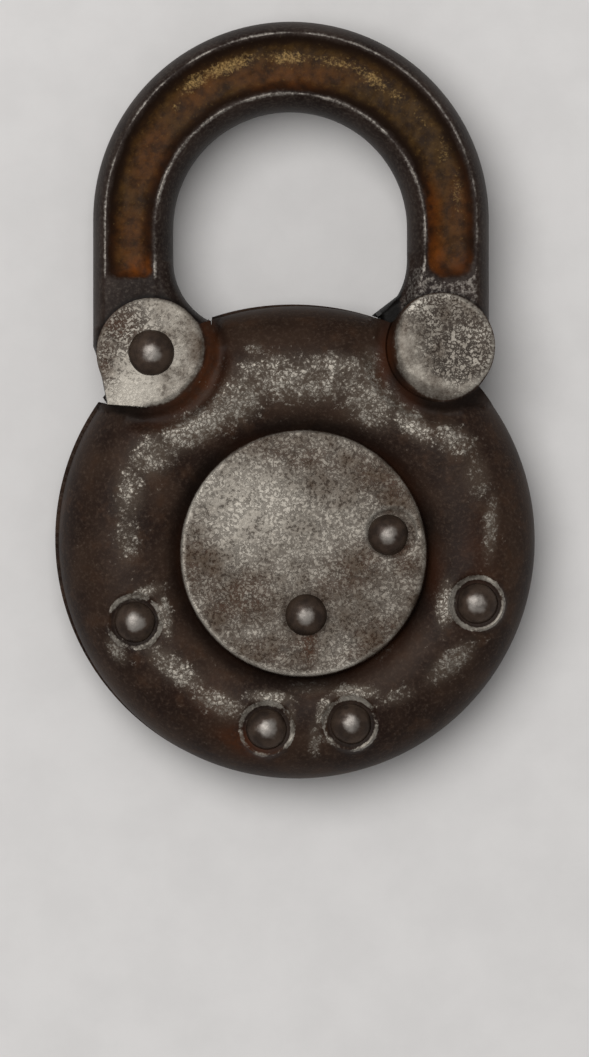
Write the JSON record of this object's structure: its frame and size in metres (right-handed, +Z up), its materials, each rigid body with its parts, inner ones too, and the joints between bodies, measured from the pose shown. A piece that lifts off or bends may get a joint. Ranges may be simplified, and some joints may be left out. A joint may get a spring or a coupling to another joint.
{
  "type": "push-key padlock",
  "caption": "Round riveted push-key padlock with a wide sunk-panel shackle hinged at its heel; worn, pitted and rusty dark steel.",
  "frame": {"origin": "centre of the keyhole, on the surface that the lock lies on", "axes": "+X towards the toe side of the shackle, +Y towards the bow, +Z up out of the face with the domed rivets"},
  "size_m": [0.0544, 0.0858, 0.0166],
  "materials": {
    "case_steel": "pressed steel with a dark brown rust patina, pitted, worn bright on the crest, the disc and the ears",
    "shackle_iron": "cast iron, grey and pitted on the lands, brown rust in the sunk panels",
    "rivet_steel": "hammered steel, dark brown, burnished on the tops of the heads",
    "inner_steel": "plain stamped steel, dull",
    "spring_steel": "blued spring steel, dull"
  },
  "bodies": {
    "case": {"front_shell": "case_steel", "back_shell": "case_steel", "heel_rivet": "rivet_steel", "lever_rivet": "rivet_steel", "dog_rivet": "rivet_steel", "rim_rivet_left": "rivet_steel", "rim_rivet_right": "rivet_steel", "rim_rivet_lower_left": "rivet_steel", "rim_rivet_lower_right": "rivet_steel", "rim_collar_left": "inner_steel", "rim_collar_right": "inner_steel", "rim_collar_lower_left": "inner_steel", "rim_collar_lower_right": "inner_steel", "lever_spacer_front": "inner_steel", "lever_spacer_back": "inner_steel", "dog_spacer": "inner_steel", "dog_spring": "spring_steel"},
    "shackle": {"shackle": "shackle_iron"},
    "locking_dog": {"locking_dog": "inner_steel"},
    "lever_1": {"lever_1": "inner_steel", "lever_spring_1": "spring_steel"},
    "lever_2": {"lever_2": "inner_steel", "lever_spring_2": "spring_steel"},
    "lever_3": {"lever_3": "inner_steel", "lever_spring_3": "spring_steel"},
    "lever_4": {"lever_4": "inner_steel", "lever_spring_4": "spring_steel"},
    "lever_5": {"lever_5": "inner_steel", "lever_spring_5": "spring_steel"},
    "lever_6": {"lever_6": "inner_steel", "lever_spring_6": "spring_steel"}
  },
  "joints": [
    {"name": "shackle_swing", "type": "hinge", "parent": "case", "child": "shackle", "pos_m": [-0.0164, 0.0212, 0.0075], "axis": [0, 0, 1], "range_deg": [0, 75]},
    {"name": "dog_swing", "type": "hinge", "parent": "case", "child": "locking_dog", "pos_m": [0.0103, 0.00065, 0.0075], "axis": [0, 0, -1], "range_deg": [0, 18]},
    {"name": "lever_1_turn", "type": "hinge", "parent": "case", "child": "lever_1", "pos_m": [0.00105, -0.0084, 0.0075], "axis": [0, 0, 1], "range_deg": [0, 9]},
    {"name": "lever_2_turn", "type": "hinge", "parent": "case", "child": "lever_2", "pos_m": [0.00105, -0.0084, 0.0075], "axis": [0, 0, 1], "range_deg": [0, 10.5]},
    {"name": "lever_3_turn", "type": "hinge", "parent": "case", "child": "lever_3", "pos_m": [0.00105, -0.0084, 0.0075], "axis": [0, 0, 1], "range_deg": [0, 8.5]},
    {"name": "lever_4_turn", "type": "hinge", "parent": "case", "child": "lever_4", "pos_m": [0.00105, -0.0084, 0.0075], "axis": [0, 0, 1], "range_deg": [0, 11]},
    {"name": "lever_5_turn", "type": "hinge", "parent": "case", "child": "lever_5", "pos_m": [0.00105, -0.0084, 0.0075], "axis": [0, 0, 1], "range_deg": [0, 9.5]},
    {"name": "lever_6_turn", "type": "hinge", "parent": "case", "child": "lever_6", "pos_m": [0.00105, -0.0084, 0.0075], "axis": [0, 0, 1], "range_deg": [0, 10]}
  ],
  "couplings": [
    {"joint": "lever_1_turn", "follows": "dog_swing", "ratio": 0.5},
    {"joint": "lever_2_turn", "follows": "dog_swing", "ratio": 0.5833},
    {"joint": "lever_3_turn", "follows": "dog_swing", "ratio": 0.4722},
    {"joint": "lever_4_turn", "follows": "dog_swing", "ratio": 0.6111},
    {"joint": "lever_5_turn", "follows": "dog_swing", "ratio": 0.5277},
    {"joint": "lever_6_turn", "follows": "dog_swing", "ratio": 0.5555}
  ]
}
